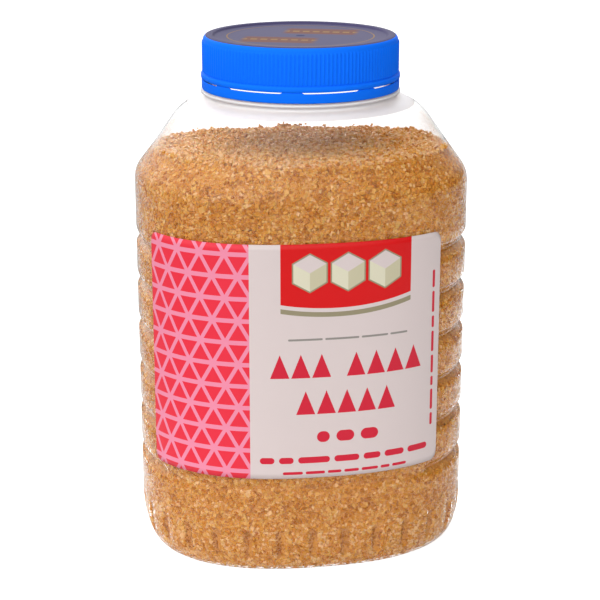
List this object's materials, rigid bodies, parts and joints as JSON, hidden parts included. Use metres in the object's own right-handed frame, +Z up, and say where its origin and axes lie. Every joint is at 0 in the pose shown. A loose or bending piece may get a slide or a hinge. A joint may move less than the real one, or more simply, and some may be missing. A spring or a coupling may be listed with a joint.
{
  "type": "jar of demerara sugar",
  "caption": "Clear oval PET storage jar with side grip grooves, shut with a blue screw lid, filled with coarse brown demerara sugar and labelled round its front.",
  "frame": {"origin": "middle of the oval base, on the surface that the jar stands on", "axes": "+Z up along the lid's axis; +X to the right along the wide axis of the oval, seen from the labelled side; +Y away from the labelled side"},
  "size_m": [0.1122, 0.0932, 0.1747],
  "materials": {
    "clear_pet": "clear blown PET, glossy",
    "demerara_sugar": "coarse golden-brown crystals, sticky with a trace of syrup, that glint",
    "printed_film": "satin printed film, warm white with red panels",
    "blue_plastic": "moulded blue polypropylene, satin, ribbed skirt"
  },
  "bodies": {
    "root": {"jar": "clear_pet", "sugar": "demerara_sugar", "label": "printed_film", "lid": "blue_plastic", "tamper_band": "blue_plastic"}
  },
  "joints": []
}
